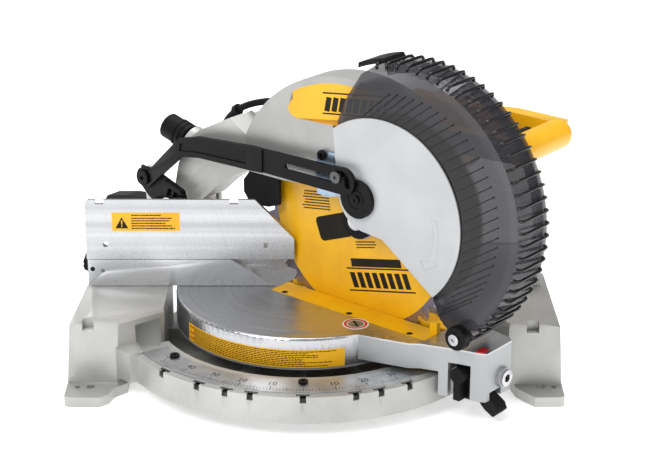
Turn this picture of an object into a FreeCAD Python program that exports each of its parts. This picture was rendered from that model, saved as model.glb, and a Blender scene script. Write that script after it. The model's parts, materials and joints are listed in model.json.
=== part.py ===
import FreeCAD, Part
import math
import os
from FreeCAD import Vector

os.makedirs("parts", exist_ok=True)

# Compound miter saw, 254 mm blade, shown turned 50 degrees to the right with the head down.
# Base frame: X right, Y back, Z up, z = 0 on the bench, origin midway between the four bench bolts.
# Head frame: s forward along the blade, k to the blade's left, z up; it turns about the table axis.

axisX = -12.3            # turntable axis, measured from the middle of the bench bolts
tableZ = 80.0            # height of the table top
headTurn = -40.0         # direction of the blade line in the rest pose, degrees from +X

boltHalfX = 236.0        # bench bolts, half spacing
boltHalfY = 108.0
boltHoleR = 4.5

discR = 139.5            # turntable
discThick = 7.0
skirtBottom = 45.0
ringInner = 163.0        # fixed scale ring of the base
ringOuter = 205.0
ringTop = 46.5
detentAngles = [-45, -31.6, -22.5, -15, 0, 15, 22.5, 31.6, 45]

arborS, arborZ = 76.0, 175.5
bladeR = 127.0
bladeThick = 1.8
teeth = 40
boreR = 7.94

pivotS, pivotZ = -170.0, 140.0      # chop pivot of the head
linkS, linkZ = -208.0, 168.0        # rear pivot of the guard link
guardS, guardZ = 95.0, 211.0        # pivot of the lower guard
pinS, pinZ = 73.0, 232.0            # pin of the guard crank, in the link's slot
rimS, rimZ = 149.0, 212.0           # centre of the lower guard's rim, guard open
rimOuter = 147.0
guardFrom, guardTo = -58.0, 113.0   # sector of the lower guard, degrees
chopMax = 42.0
linkRatio = 0.94                    # link turn per head turn
guardRatio = -96.0 / 42.0           # crank turn per head turn
motorS, motorZ = 70.0, 232.0
fenceTravel = 186.0


def block(x0, x1, y0, y1, z0, z1):
    return Part.makeBox(x1 - x0, y1 - y0, z1 - z0, Vector(x0, y0, z0))


def rod(r, base, along, length):
    return Part.makeCylinder(r, length, Vector(*base), Vector(*along))


def pipe(outer, inner, base, along, length):
    return rod(outer, base, along, length).cut(rod(inner, base, along, length))


def polygonWire(points, place):
    corners = [place(*p) for p in points]
    return Part.makePolygon(corners + [corners[0]])


def prism(points, z0, z1):
    face = Part.Face(polygonWire(points, lambda x, y: Vector(x, y, z0)))
    return face.extrude(Vector(0, 0, z1 - z0))


def taper(low, z0, high, z1):
    bottom = polygonWire(low, lambda x, y: Vector(x, y, z0))
    top = polygonWire(high, lambda x, y: Vector(x, y, z1))
    return Part.makeLoft([bottom, top], True, True)


def plan(points):
    # outline points given as (s, k), turned into head-frame x, y
    return [(s, -k) for s, k in points]


def outline(start, steps, place):
    # steps are (a, b) for a straight run or ((am, bm), (a, b)) for an arc through a middle point
    edges = []
    here = start
    for step in steps + [start]:
        if isinstance(step[0], tuple):
            middle, end = step
            edges.append(Part.Arc(place(*here), place(*middle), place(*end)).toShape())
        else:
            end = step
            if math.hypot(end[0] - here[0], end[1] - here[1]) > 1e-6:
                edges.append(Part.makeLine(place(*here), place(*end)))
        here = end
    return Part.Wire(edges)


def slab(start, steps, k0, k1):
    # side outline in (s, z), from k0 to k1 on the blade's left
    wire = outline(start, steps, lambda s, z: Vector(s, -k1, z))
    return Part.Face(wire).extrude(Vector(0, k1 - k0, 0))


def side(points, k0, k1):
    return slab(points[0], list(points[1:]), k0, k1)


def across(r, s, z, k0, k1):
    # cylinder along k
    return rod(r, (s, -k1, z), (0, 1, 0), k1 - k0)


def capsule(s0, z0, s1, z1, r, k0, k1):
    length = math.hypot(s1 - s0, z1 - z0)
    ends = across(r, s0, z0, k0, k1).fuse(across(r, s1, z1, k0, k1))
    if length < 1e-6:
        return ends
    u, v = (s1 - s0) / length, (z1 - z0) / length
    corners = [(s0 - v * r, z0 + u * r), (s1 - v * r, z1 + u * r),
               (s1 + v * r, z1 - u * r), (s0 + v * r, z0 - u * r)]
    return ends.fuse(side(corners, k0, k1))


def joined(shapes):
    whole = shapes[0]
    if len(shapes) > 1:
        whole = shapes[0].fuse(shapes[1:])
    return whole.removeSplitter()


def turned(shape, degrees=headTurn):
    shape = shape.copy()
    shape.rotate(Vector(0, 0, 0), Vector(0, 0, 1), degrees)
    return shape


def save(name, shape):
    shape = shape.copy()
    shape.translate(Vector(axisX, 0, 0))
    if not shape.isValid() or shape.Volume <= 0:
        print("BAD", name)
    solids = len(shape.Solids)
    print("%-22s solids %2d  volume %9.0f" % (name, solids, shape.Volume))
    if solids == 1:
        shape = shape.Solids[0]
    shape.exportStep("parts/%s.step" % name)


def saveHead(name, shape):
    save(name, turned(shape))


def polar(r, degrees, cx=0.0, cy=0.0):
    a = math.radians(degrees)
    return (cx + r * math.cos(a), cy + r * math.sin(a))


def sector(r0, r1, a0, a1, z0, z1):
    mid = 0.5 * (a0 + a1)
    place = lambda x, y: Vector(x, y, z0)
    wire = outline(polar(r1, a0), [(polar(r1, mid), polar(r1, a1)), polar(r0, a1),
                                   (polar(r0, mid), polar(r0, a0))], place)
    return Part.Face(wire).extrude(Vector(0, 0, z1 - z0))


def capScrew(head, headLength, shank, length, socket):
    # socket head screw, head from z = 0 up, shank from z = 0 down
    body = rod(head, (0, 0, 0), (0, 0, 1), headLength)
    body = body.fuse(rod(shank, (0, 0, -length), (0, 0, 1), length + 0.5))
    corners = [polar(socket, 60 * i) for i in range(6)]
    return body.cut(prism(corners, headLength * 0.35, headLength + 1))


# ---- base ----

leftLow = [(-249, -97), (-197, -97), (-150, -62), (-148, 46), (-240, 46)]
leftMid = [(-245, -94), (-194, -94), (-148.5, -60), (-147, 45), (-236, 45)]
leftTop = [(-223, -93), (-195, -93), (-149, -59), (-147.5, 44), (-235, 44)]
rightLow = [(270.5, -104), (213, -104), (160, -63), (156, 46), (268, 46)]
rightMid = [(267, -101), (214, -101), (159, -60), (155, 45), (265, 45)]
rightTop = [(246, -100), (215, -100), (160, -59), (156, 44), (256, 44)]
footLeft = [(-249, -130), (-245, -133.5), (-212, -134.5), (-203, -127), (-199, -112), (-186, -100),
            (-186, -80), (-249, -80)]
footRight = [(271, -130), (267, -133.5), (240, -134), (229, -120), (222, -110), (215, -80), (271, -80)]
rearLeft = [(-249, 40), (-249, 124), (-244, 129), (-209, 129), (-204, 124), (-196, 40)]
rearRight = [(271, 40), (271, 124), (266, 129), (231, 129), (226, 124), (218, 40)]


def pockets(x0, x1, y0, y1, columns, rows, wall):
    cells = []
    stepX = (x1 - x0) / columns
    stepY = (y1 - y0) / rows
    for i in range(columns):
        for j in range(rows):
            cells.append(block(x0 + i * stepX + wall, x0 + (i + 1) * stepX - wall,
                               y0 + j * stepY + wall, y0 + (j + 1) * stepY - wall, -1, 70))
    return cells


def makeBase():
    solids = [taper(leftLow, 11, leftMid, 76), taper(leftMid, 76, leftTop, tableZ),
              taper(rightLow, 11, rightMid, 76), taper(rightMid, 76, rightTop, tableZ)]
    for foot in (footLeft, footRight, rearLeft, rearRight):
        solids.append(prism(foot, 0, 11))
    solids.append(rod(ringInner, (0, 0, 12), (0, 0, 1), 7))
    solids.append(rod(24, (0, 0, 12), (0, 0, 1), 44))
    solids.append(sector(197, 206, 206, 334.5, 17, ringTop))
    solids.append(sector(ringInner, 200, 206, 334.5, 40, ringTop))
    solids.append(sector(ringInner - 3, ringInner + 2, 206, 334.5, 12, ringTop))
    for a in range(212, 334, 12):
        web = block(ringInner - 1, 199, -2, 2, 17, 42)
        solids.append(turned(web, a))
    for a in range(0, 360, 30):
        solids.append(turned(block(20, ringInner - 1, -2.5, 2.5, 18, 30), a))
    solids.append(prism([(-197, -97), (-181, -113), (-168, -104), (-176, -80), (-195, -80)], 17, 50))
    solids.append(block(-76, -44, 118, 158, 12, 29))
    solids.append(prism([(214, -102), (203, -112), (190, -104), (196, -84), (214, -90)], 17, 50))
    base = joined(solids)
    cuts = pockets(-234, -150, -84, 40, 2, 3, 2.2) + pockets(167, 261, -84, 40, 2, 3, 2.2)
    cuts.append(block(-231.5, -219.5, -98, -84, 68.7, 82))
    cuts.append(block(232, 245, -104, -92, 69.5, 82))
    cuts.append(rod(8.05, (0, 0, 5), (0, 0, 1), 60))
    for sx in (-1, 1):
        for sy in (-1, 1):
            x = -axisX + sx * boltHalfX
            cuts.append(rod(boltHoleR, (x, sy * boltHalfY, -1), (0, 0, 1), 14))
            cuts.append(rod(2.75, (x + sx * 13.6, sy * (boltHalfY + 1), -1), (0, 0, 1), 14))
    for a in detentAngles:
        notch = block(200, 210, -3.2, 3.2, 40, 50).fuse(block(198, 202.5, -7, 7, 44.2, 50))
        cuts.append(turned(notch, a - 90))
    for a in (0, -50.0):
        cuts.append(rod(1.9, polar(175, a - 90) + (36,), (0, 0, 1), 20))
    for x, y in fenceScrewAt:
        cuts.append(rod(2.6, (x, y, 60), (0, 0, 1), 25))
    return base.cut(cuts)


fenceScrewAt = [(-205, 33), (-168, 33), (176, 33), (236, 33)]


def makeScalePlate():
    plate = sector(168, 197, 211, 329, ringTop, ringTop + 1.2)
    cuts = [rod(2.6, polar(175, a - 90) + (40,), (0, 0, 1), 12) for a in (0, -50.0)]
    for a in detentAngles:
        cuts.append(turned(block(195, 200, -7, 7, 44, 50), a - 90))
    return plate.cut(cuts)


def makeFence():
    # low left fence with its slanted end, right fence, and the bridge that joins them behind the blade
    left = [(-235, 80.5), (-33, 80.5), (-80, 111), (-235, 111)]
    place = lambda x, z: Vector(x, 0, z)
    solids = [Part.Face(outline(left[0], left[1:], place)).extrude(Vector(0, 8, 0))]
    right = [(40, 80.5), (257, 80.5), (257, 128), (78, 128), (40, 104)]
    solids.append(Part.Face(outline(right[0], right[1:], place)).extrude(Vector(0, 8, 0)))
    solids.append(sector(104, 124, 2, 178, 80.5, 88))
    solids.append(block(-124, -100, 4, 10, 80.5, 88))
    solids.append(block(100, 124, 4, 10, 80.5, 88))
    solids.append(sector(119, 124, 14, 166, 88, 100))
    solids.append(block(-232, -152, 4, 42, tableZ, 84.5))
    solids.append(block(162, 252, 4, 42, tableZ, 86))
    for x in (188, 214, 247):
        solids.append(prism([(x, 7), (x + 5, 7), (x + 5, 30), (x, 30)], 85, 110))
    fence = joined(solids)
    cuts = [rod(2.6, (x, y, 75), (0, 0, 1), 15) for x, y in fenceScrewAt]
    cuts.append(rod(2.56, (-230, -1, 100), (0, 1, 0), 10))
    cuts.append(rod(2.5, (-219, -1, 98.5), (0, 1, 0), 5))
    for z in (86, 93):
        cuts.append(block(-86, -60, 3.5, 9, z, z + 4))
    return fence.cut(cuts)


def makeSlidingFence():
    place = lambda x, z: Vector(x, 0, z)
    plate = [(-236, 111.6), (-11, 111.6), (-11, 135), (-53, 180), (-232, 180), (-236, 176)]
    face = Part.Face(outline(plate[0], plate[1:], place)).extrude(Vector(0, 8, 0))
    leg = block(-236, -36, 8.0, 14, 92, 122)
    slot = block(-230.5, -41, 7, 15, 97.1, 102.9)
    slot = slot.fuse(rod(2.9, (-230.1, 7, 100), (0, 1, 0), 8)).fuse(rod(2.9, (-43.9, 7, 100), (0, 1, 0), 8))
    bevelEnd = prism([(-11.0, 3), (-10, 9), (-18, 9)], 100, 190)
    backEdge = Part.Face(polygonWire([(3.2, 180.5), (9, 180.5), (9, 161.5)], lambda y, z: Vector(-240, y, z)))
    cuts = [slot, bevelEnd, backEdge.extrude(Vector(240, 0, 0)), block(-240, -30, 7.5, 8.4, 90, 111.6)]
    for x, z in ((-214.8, 128.7), (-42, 127.6)):
        cuts.append(rod(3.2, (x, -1, z), (0, 1, 0), 20))
    for x in (-220, -75.5):
        cuts.append(block(x - 4.5, x + 4.5, -1, 5, 175, 182))
    return face.fuse(leg).removeSplitter().cut(cuts)


def makeFenceKnob():
    stud = rod(2.5, (-230, 1, 100), (0, 1, 0), 20)
    knob = rod(12.5, (-230, 14.4, 100), (0, 1, 0), 16)
    grips = []
    for i in range(8):
        x, z = polar(13.5, 45 * i, -230, 100)
        grips.append(rod(2.2, (x, 14, z), (0, 1, 0), 17))
    return joined([stud, knob.cut(grips)])


save("base_casting", makeBase())
save("miter_scale", makeScalePlate())
scaleScrews = []
for angle in (0, -50.0):
    screw = capScrew(5, 2.8, 1.85, 8, 2.0)
    screw.translate(Vector(*polar(175, angle - 90), ringTop + 1.2))
    scaleScrews.append(screw)
save("scale_screws", Part.Compound(scaleScrews))
save("fence_casting", makeFence())
fenceScrews = []
for x, y in fenceScrewAt:
    screw = capScrew(5, 5, 2.5, 18, 2.2)
    screw.translate(Vector(x, y, 84.5 if x < 0 else 86))
    fenceScrews.append(screw)
save("fence_screws", Part.Compound(fenceScrews))
save("sliding_fence", makeSlidingFence())
save("fence_knob", makeFenceKnob())
pivotBolt = rod(8.0, (0, 0, 8), (0, 0, 1), 53).fuse(rod(13, (0, 0, 4), (0, 0, 1), 7.9))
save("pivot_bolt", pivotBolt)


# ---- turntable ----

armOutline = plan([(118, 74), (124.8, 62.6), (178.8, 46.2), (187.7, 39.4), (226, 25.7), (248, 19.8), (254.5, 16),
                   (254.5, -27), (250, -31), (226, -36), (188, -44), (179, -47), (118, -62)])
armInner = plan([(118, 68), (124.8, 57), (176, 41), (185, 34.5), (224, 21), (247.5, 14.5),
                 (247.5, -25.5), (224, -31), (186, -39), (178, -42), (118, -57)])


def makeTurntable():
    disc = rod(discR, (0, 0, tableZ - discThick), (0, 0, 1), discThick)
    disc = disc.makeFillet(2.5, [e for e in disc.Edges if e.BoundBox.ZMin > tableZ - 0.1])
    solids = [disc, pipe(discR, discR - 4, (0, 0, skirtBottom), (0, 0, 1), 30)]
    solids.append(rod(26, (0, 0, 56.3), (0, 0, 1), 18))
    for a in (60, 100, 140, 220, 260, 300):
        solids.append(turned(block(20, discR - 2, -2.5, 2.5, 60, 74), a))
    # neck and bevel hub at the back
    solids.append(prism(plan([(-128, 34), (-184, 30), (-184, -30), (-128, -34)]), 52, 73))
    solids.append(rod(36, (-186, 0, tableZ), (1, 0, 0), 12))
    table = joined(solids)
    arm = prism(armOutline, 26, tableZ)
    arm = arm.cut([prism(armInner, 20, tableZ - discThick),
                   rod(209, (0, 0, 20), (0, 0, 1), 32.5).cut(rod(100, (0, 0, 10), (0, 0, 1), 60)),
                   rod(discR - 4, (0, 0, 10), (0, 0, 1), 63)])
    lugs = [side([(230, 73), (230, 34), (236, 29), (242, 34), (242, 73)], k, k + 2.3) for k in (-10.9, 8.6)]
    table = joined([table, arm, rod(11, (247, 12, 45), (1, 0, 0), 12)] + lugs)
    cuts = [prism(plan([(-22, 31), (187, 31), (187, -31), (-22, -31)]), 76.6, 82),
            prism(plan([(12, 6), (168, 6), (168, -26), (12, -26)]), 40, 90),
            prism(plan([(-20, 6), (12, 6), (12, -26), (-20, -26)]), 62.5, 90),
            rod(8.06, (0, 0, 50), (0, 0, 1), 12),
            rod(9.0, (-230, 0, tableZ), (1, 0, 0), 70),
            rod(13.3, (-173.8, 0, tableZ), (1, 0, 0), 14),
            block(216, 239, -40, -10, 21, 64),
            block(244, 258, -10, 10, 20, 34.5),
            across(3.02, 236, 36, -11, 11),
            rod(6.0, (240, 12, 45), (1, 0, 0), 30)]
    table = table.cut(cuts)
    return max(table.Solids, key=lambda s: s.Volume)


def makeKerfPlates():
    left = prism(plan([(-21.5, 30.6), (186.5, 30.6), (186.5, 2), (-21.5, 2)]), 76.6, tableZ)
    right = prism(plan([(-21.5, -5.4), (186.5, -5.4), (186.5, -30.6), (-21.5, -30.6)]), 76.6, tableZ)
    cuts = []
    for s in (-6, 84, 164):
        cuts.append(rod(1.7, (s, -26, 70), (0, 0, 1), 15))
        cuts.append(rod(3.6, (s, -26, 78.2), (0, 0, 1), 5))
        cuts.append(rod(1.7, (s, 28.6, 70), (0, 0, 1), 15))
    riser = block(177, 186, -9, -3, tableZ - 1, 91)
    return left.fuse(riser).cut(cuts), right.cut(cuts)


saveHead("turntable_casting", makeTurntable())
kerfLeft, kerfRight = makeKerfPlates()
saveHead("kerf_plate_left", kerfLeft)
saveHead("kerf_plate_right", kerfRight)
kerfScrews = []
for s in (-6, 84, 164):
    screw = capScrew(3.3, 1.6, 1.6, 1.5, 1.2)
    screw.translate(Vector(s, -26, 78.25))
    kerfScrews.append(screw)
saveHead("kerf_screws", Part.Compound(kerfScrews))
bushing = pipe(9.0, 4.1, (259.0, 12, 45), (1, 0, 0), 2.2).fuse(pipe(5.95, 4.1, (246, 12, 45), (1, 0, 0), 13))
saveHead("lock_bushing", bushing)
lockScrew = rod(4.0, (243.5, 12, 45), (1, 0, 0), 16.5).cut(
    prism([polar(2.0, 60 * i) for i in range(6)], 0, 6).rotate(Vector(0, 0, 0), Vector(0, 1, 0), 90)
    .translate(Vector(255, 12, 45)))
saveHead("lock_screw", lockScrew)
pointer = prism(plan([(243, 20.8), (251, 18.6), (251, 8), (243, 8)]), tableZ, tableZ + 1.2)
saveHead("miter_pointer", pointer)


def makeLatch():
    # key-shaped detent button in the left wall of the arm
    head = across(8.5, 227.5, 52, 14.5, 30)
    stem = block(223.6, 231.4, -30, -14.5, 25, 52)
    flange = block(217.5, 237.5, -16.5, -14.5, 23, 62.5)
    return joined([head, stem, flange])


saveHead("detent_latch", makeLatch())
lever = joined([across(6.5, 236, 36, -8.3, 8.3), side([(230, 36), (240, 40), (246, 31), (262, 21), (265, 14), (258, 7),
                                                       (247, 13), (234, 26)], -8.3, 8.3)])
lever = lever.cut(across(3.05, 236, 36, -12, 12))
saveHead("miter_lever", lever)
saveHead("lever_pin", across(2.98, 236, 36, -10.9, 10.9))
bevelShaft = rod(8.9, (-243, 0, tableZ), (1, 0, 0), 73).fuse(rod(13, (-170, 0, tableZ), (1, 0, 0), 7))
saveHead("bevel_shaft", bevelShaft)


def makeBevelLever():
    hub = rod(15, (-241, 0, tableZ), (1, 0, 0), 13)
    arm = block(-240, -229, -9, 9, tableZ, 128)
    grip = side([(-229, 122), (-229, 131), (-262, 127), (-296, 119), (-300, 113), (-295, 108), (-262, 114),
                 (-240, 120)], -10, 10)
    return joined([hub, arm, grip]).cut(rod(8.96, (-250, 0, tableZ), (1, 0, 0), 30))


saveHead("bevel_lever", makeBevelLever())

# ---- tilting trunnion ----

earOutline = [(-212, 60), (-196.5, 60), (-196.5, 112), (-182, 117.5), (-158, 118), (-147, 129), (-147, 150),
              (-156, 161), (-186, 161), (-212, 146)]


def makeTrunnion():
    barrel = rod(36, (-212, 0, tableZ), (1, 0, 0), 25.6)
    ears = [side(earOutline, 22.3, 28), side(earOutline, -28, -22.3)]
    web = block(-212, -196.5, -28, 28, 60, 140)
    boss = across(11, linkS, linkZ, 22.3, 28).fuse(side([(-212, 140), (-197, 140), (-199, 172), (-217, 172)], 22.3, 28))
    body = joined([barrel, web, boss] + ears)
    return body.cut([rod(8.96, (-230, 0, tableZ), (1, 0, 0), 60),
                     across(9.05, pivotS, pivotZ, -40, 40),
                     across(4.05, linkS, linkZ, 15, 40)])


def makeLinkBracket():
    plate = [(-221, 166), (-218, 156), (-207, 146), (-196, 139), (-146, 152), (-150, 164), (-173, 172), (-190, 178),
             (-216, 180)]
    body = side(plate, 28.2, 30.2)
    rim = side([(-196, 139), (-146, 152), (-148, 158), (-194, 146)], 30.2, 35.4)
    rim2 = side([(-176, 172), (-152, 165), (-149, 160), (-178, 166)], 30.2, 35.4)
    ribs = [side([(s, 146 + (s + 194) * 0.26), (s + 3, 146.8 + (s + 194) * 0.26), (s + 9, 165), (s + 6, 166)],
                 30.2, 34.4) for s in (-178, -168)]
    ring = across(14.5, pivotS, pivotZ, 28.2, 33)
    body = joined([body, rim, rim2, ring] + ribs)
    return body.cut([across(9.05, pivotS, pivotZ, 20, 50), across(13, pivotS, pivotZ, 33, 50),
                     across(4.05, linkS, linkZ, 15, 50)])


saveHead("trunnion_casting", makeTrunnion())
saveHead("link_bracket", makeLinkBracket())
headPivot = joined([across(9.0, pivotS, pivotZ, -34, 35.2), across(13, pivotS, pivotZ, -34, -28.3),
                    across(12.5, pivotS, pivotZ, 33.2, 36.6)])
headPivot = headPivot.cut(across(5.5, pivotS, pivotZ, 34.4, 40))
saveHead("head_pivot_shaft", headPivot)
linkScrew = joined([across(4.0, linkS, linkZ, 22.4, 35.2), across(8.5, linkS, linkZ, 35.0, 38.2)])
linkScrew = linkScrew.cut(prism([polar(2.6, 60 * i) for i in range(6)], 0, 4)
                          .rotate(Vector(0, 0, 0), Vector(1, 0, 0), 90).translate(Vector(linkS, -36, linkZ)))
saveHead("link_screw", linkScrew)


# ---- guard link ----

def turnPoint(p, centre, radians):
    c, s = math.cos(radians), math.sin(radians)
    x, z = p[0] - centre[0], p[1] - centre[1]
    return (centre[0] + c * x - s * z, centre[1] + s * x + c * z)


def pinInLink(headDegrees):
    # where the crank's pin stands in the link's own frame when the head is raised
    a = math.radians(headDegrees)
    p = turnPoint((pinS, pinZ), (guardS, guardZ), guardRatio * a)
    p = turnPoint(p, (pivotS, pivotZ), a)
    return turnPoint(p, (linkS, linkZ), -linkRatio * a)


def makeLink():
    bar = [(-218, 160), (-203, 156), (-147, 206), (-120, 210.5), (-44, 213), (-28, 214), (-28, 240), (-44, 240),
           (-122, 234), (-151, 226)]
    thick = side(bar, 30.8, 36.4).fuse(across(11.5, linkS, linkZ, 30.8, 34.8))
    thick = thick.cut(across(13, linkS, linkZ, 34.8, 40))
    thin = slab((-30, 214), [(81, 214), ((96, 229), (81, 243.5)), (60, 242), (-30, 240)], 30.8, 34.6)
    slots = [capsule(6, 228, 66, 228.5, 3.6, 28, 40)]
    steps = [pinInLink(chopMax * i / 8.0) for i in range(9)]
    slots.append(capsule(66, 228.5, steps[0][0], steps[0][1], 3.6, 28, 40))
    for one, two in zip(steps, steps[1:]):
        slots.append(capsule(one[0], one[1], two[0], two[1], 3.5, 28, 40))
    link = joined([thick, thin])
    recess = side([(-150, 212), (-124, 216), (-50, 219), (-50, 234), (-124, 229), (-148, 221)], 34.9, 40)
    return link.cut([joined(slots), recess, across(4.05, linkS, linkZ, 20, 50)])


saveHead("link_arm", makeLink())

# ---- head castings ----


def makeArm():
    shell = slab((-153, 129), [((-170 + 17, 127.5), (-149.5, 136)), (-146, 150), (-133, 155), (-110, 176),
                               (-84, 194), (-66.5, 203.5), (-66.5, 244), (-90, 258), (-135, 235), (-150, 224),
                               (-162, 208), (-170, 186), (-176, 160)], -18, 18)
    hub = across(21, pivotS, pivotZ, -21.8, 21.8)
    spoutBoss = rod(17, (-150, 0, 209), (-0.966, 0, 0.259), 14)
    web = side([(-112, 206), (-66, 206), (-20, 203), (36, 203), (36, 246), (-20, 250), (-66, 246), (-100, 250)],
               -42, -17.0)
    hollow = side([(-100, 212), (30, 209), (30, 240), (-20, 244), (-66, 240), (-98, 244)], -38, -23)
    arm = joined([shell, hub, spoutBoss, web.cut(hollow)])
    cavity = side([(-150, 152), (-134, 162), (-112, 183), (-86, 200), (-72, 206), (-72, 238), (-90, 250),
                   (-132, 229), (-146, 219), (-156, 204), (-163, 184)], -13.5, 13.5)
    arm = arm.cut([cavity, across(9.05, pivotS, pivotZ, -40, 40),
                   rod(12.6, (-140, 0, 206.3), (-0.966, 0, 0.259), 40)])
    groove = side([(-20, 195), (-20, 255), (40, 255), (40, 195)], -18.4, -10)
    return max(arm.cut(groove).Solids, key=lambda s: s.Volume)


capR = 158.0


def makeUpperGuard():
    c = (75, 175)
    outer = [(53, 284), (polar(111, 76.5, *c), polar(111, 54.2, *c)), polar(capR, 54.2, *c),
             (polar(capR, 100, *c), polar(capR, 154.2, *c)), (-66.2, 203.6)]
    body = slab((-14, 204), [(57, 210), (61, 254)] + outer, -16.6, 18)
    cavity = across(134, arborS, arborZ, -13.4, 14)
    top = across(153.5, c[0], c[1], -13.4, 14).common(block(-60, 200, -20, 20, 236, 360))
    lowBack = block(-62.4, -20, -14, 13.4, 190, 240)
    return body.cut([cavity, top, lowBack])


headArm = makeArm()
saveHead("head_arm", headArm)
upperGuard = makeUpperGuard().cut([headArm, across(2.6, 43, 246, 10, 30)])
saveHead("upper_guard", max(upperGuard.Solids, key=lambda s: s.Volume))
bracketSteps = [(60, 251), (72, 236), (99, 222), ((106, 211), (99, 200)), (84, 201), (67, 205), (46, 200),
                (35, 202), (33, 221)]
bracket = slab((36, 249), bracketSteps, 18.25, 20.4)
bracket = joined([bracket, across(5.0, guardS, guardZ, 20.3, 29.0)])
bracket = bracket.cut(across(2.6, 43, 246, 10, 30))
saveHead("guard_bracket", bracket)
bracketScrew = capScrew(5.2, 3.2, 2.5, 6, 2.3)
bracketScrew.rotate(Vector(0, 0, 0), Vector(1, 0, 0), 90)
bracketScrew.translate(Vector(43, -20.45, 246))
saveHead("bracket_screw", bracketScrew.cut(block(30, 60, -17.9, -10, 230, 260)))


def makeGearHousing():
    low = across(30, arborS, arborZ, -62, -19.6)
    high = across(44, motorS, motorZ, -62, -19.6)
    join = side([(46, 176), (106, 176), (113, 226), (36.4, 226), (36.4, 200)], -62, -19.6)
    lug = side([(92, 262), (160, 262), (160, 286), (84, 286)], -44, -26)
    body = joined([low, high, join, lug])
    trim = block(0, 36.3, 10, 80, 190, 290)
    return body.cut([across(33, motorS, motorZ, -57, -24), across(24, arborS, arborZ, -57, -32), trim,
                     across(14.05, arborS, arborZ, -33, -19), across(8.1, arborS, arborZ, -70, -50)])


def makeMotor():
    shell = across(47, motorS, motorZ, -150, -62.2).cut(across(43, motorS, motorZ, -146, -62))
    lug = side([(52, 262), (128, 262), (128, 287), (52, 287)], -124, -104)
    shell = joined([shell, lug.cut(across(46, motorS, motorZ, -160, -62))])
    return shell.cut([across(7.1, motorS, motorZ + 30, -142, -128).rotate(Vector(0, 0, 0), Vector(1, 0, 0), 0)])


def makeEndCap():
    cap = across(45, motorS, motorZ, -174, -150.2)
    cuts = [across(40, motorS, motorZ, -168, -150)]
    for i in range(12):
        a = 30 * i
        slot = block(-1.8, 1.8, 0, 10, 22, 38)
        slot.rotate(Vector(0, 0, 0), Vector(0, 1, 0), a)
        slot.translate(Vector(motorS, 165, motorZ))
        cuts.append(slot)
    return cap.cut(cuts)


saveHead("gear_housing", makeGearHousing())
motor = across(47, motorS, motorZ, -150, -62.2).cut(across(43, motorS, motorZ, -146, -62))
motorLug = side([(56, 270), (128, 262), (128, 287), (56, 287)], -124, -104)
motor = joined([motor, motorLug.cut(across(45, motorS, motorZ, -160, -60))])
motor = motor.cut([rod(6.1, (motorS + sx * 48, 136, motorZ), (-sx, 0, 0), 10) for sx in (-1, 1)])
saveHead("motor_housing", motor)
saveHead("motor_end_cap", makeEndCap())
brushes = [rod(6.0, (motorS + sx * 48.5, 136, motorZ), (-sx, 0, 0), 6) for sx in (-1, 1)]
saveHead("brush_caps", Part.Compound(brushes))


# ---- handle ----

def makeHandle():
    # horizontal D loop: a thick cross grip in front and two arms that run back to the housings
    gripS, gripZ = 246.0, 279.0
    grip = rod(15.5, (gripS, 40, gripZ), (0, 1, 0), 66)
    ends = [Part.makeSphere(15.5, Vector(gripS, 40, gripZ)), Part.makeSphere(15.5, Vector(gripS, 106, gripZ))]
    nearArm = side([(160.3, 264), (244, 268), (250, 292), (160.3, 286)], -43.5, -27)
    farArm = side([(128.3, 264), (200, 266), (244, 268), (250, 292), (190, 292), (128.3, 286)], -121, -104)
    return joined([grip] + ends + [nearArm, farArm])


handle = makeHandle()
pocket = block(226, 246, 56, 90, 272, 286)
handle = handle.cut(pocket)
saveHead("handle", handle)
saveHead("trigger", block(226.0, 238.5, 56.8, 89.2, 272.8, 285.2).fuse(block(221, 227, 58, 88, 271, 287)))
spoutAxis = (-0.966, 0, 0.259)
spoutBase = (-152, 0, 209.5)
spout = pipe(12.5, 10, spoutBase, spoutAxis, 50)
for d in (16, 23, 30):
    collar = [c + d * a for c, a in zip(spoutBase, spoutAxis)]
    spout = spout.fuse(pipe(15.5, 10, collar, spoutAxis, 4))
spout = spout.fuse(pipe(14.5, 10, [c + 16 * a for c, a in zip(spoutBase, spoutAxis)], spoutAxis, 34))
saveHead("dust_spout", spout.removeSplitter())
chute = side([(-76, 190), (-66, 202.8), (-24, 202.8), (-24, 172), (-40, 166), (-66, 163), (-76, 176)], -12.8, 13.4)
chute = chute.cut(side([(-62, 204), (-20, 204), (-20, 160), (-62, 160)], -9, 9))
saveHead("dust_chute", chute)

# ---- spindle ----


def makeBlade():
    points = []
    for i in range(teeth):
        a = 360.0 * i / teeth
        pitch = 360.0 / teeth
        points.append(polar(bladeR, a, arborS, arborZ))
        points.append(polar(bladeR - 1.5, a + 0.30 * pitch, arborS, arborZ))
        points.append(polar(bladeR - 9, a + 0.62 * pitch, arborS, arborZ))
        points.append(polar(bladeR - 8.5, a + 0.86 * pitch, arborS, arborZ))
    body = side(points, -bladeThick / 2, bladeThick / 2)
    return body.cut(across(boreR, arborS, arborZ, -5, 5))


saveHead("blade", makeBlade())
saveHead("arbor_shaft", joined([across(7.9, arborS, arborZ, -52, 3.9), across(13, arborS, arborZ, -31, -20.5)])
         .cut(across(2.5, arborS, arborZ, -12, 10)))
flange = across(19.5, arborS, arborZ, 0.95, 4.9).cut(across(7.95, arborS, arborZ, 0, 6))
saveHead("outer_flange", flange)
inner = joined([across(19.5, arborS, arborZ, -5.5, -0.95), across(12, arborS, arborZ, -20.4, -5)])
saveHead("inner_flange", inner.cut(across(7.95, arborS, arborZ, -25, 6)))
bolt = joined([across(9, arborS, arborZ, 4.95, 8.6), across(2.4, arborS, arborZ, -11, 5)])
saveHead("arbor_bolt", bolt.cut(side([polar(2.8, 60 * i, arborS, arborZ) for i in range(6)], 6, 12)))
bearing = across(14.0, arborS, arborZ, -43, -32.1).cut(across(7.95, arborS, arborZ, -50, -20))
saveHead("arbor_bearing", bearing)

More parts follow.
